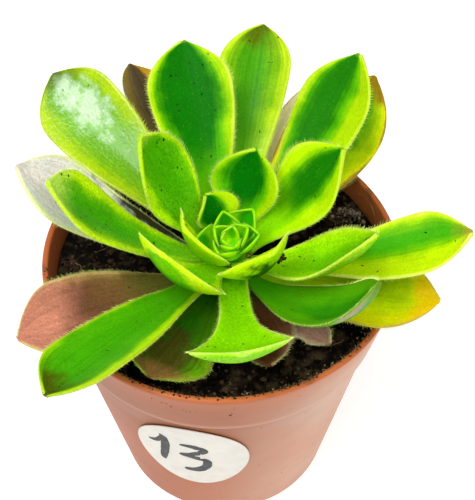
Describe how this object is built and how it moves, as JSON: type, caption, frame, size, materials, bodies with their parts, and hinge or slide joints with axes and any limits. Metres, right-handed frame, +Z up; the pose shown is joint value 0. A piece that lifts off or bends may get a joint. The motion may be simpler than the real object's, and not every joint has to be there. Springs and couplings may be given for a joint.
{
  "type": "potted succulent plant",
  "caption": "Rosette succulent with broad pale-edged leaves round a small bud, rooted in soil in a tapered nursery pot with a collar band and an oval label.",
  "frame": {"origin": "middle of the pot's underside, on the surface it stands on", "axes": "+Z up along the pot's axis, -Y towards the side with the label, +X to the right seen from that side"},
  "size_m": [0.1001, 0.1023, 0.115],
  "materials": {
    "pot": "matte terracotta-coloured plastic, redder and glossier at the lip and inside",
    "label": "off-white paper sticker",
    "soil": "dark crumbly potting soil",
    "stem": "dull green fleshy stem",
    "leaf_fresh": "glossy green with a lime-yellow margin",
    "leaf_yellow": "yellowing green with a brown edge",
    "leaf_bronze": "dark olive bronze",
    "leaf_old": "pale mauve-brown ageing leaf"
  },
  "bodies": {
    "root": {"pot": "pot", "label": "label", "soil": "soil", "stem": "stem", "bud": "leaf_fresh", "leaf_01": "leaf_fresh", "leaf_02": "leaf_fresh", "leaf_03": "leaf_fresh", "leaf_04": "leaf_fresh", "leaf_05": "leaf_fresh", "leaf_06": "leaf_fresh", "leaf_07": "leaf_fresh", "leaf_08": "leaf_fresh", "leaf_09": "leaf_fresh", "leaf_10": "leaf_fresh", "leaf_11": "leaf_fresh", "leaf_12": "leaf_fresh", "leaf_13": "leaf_fresh", "leaf_14": "leaf_fresh", "leaf_15": "leaf_fresh", "leaf_16": "leaf_fresh", "leaf_17": "leaf_fresh", "leaf_18": "leaf_fresh", "leaf_19": "leaf_yellow", "leaf_20": "leaf_bronze", "leaf_21": "leaf_old", "leaf_22": "leaf_yellow", "leaf_23": "leaf_bronze", "leaf_24": "leaf_bronze", "leaf_25": "leaf_old", "leaf_26": "leaf_old"}
  },
  "joints": []
}
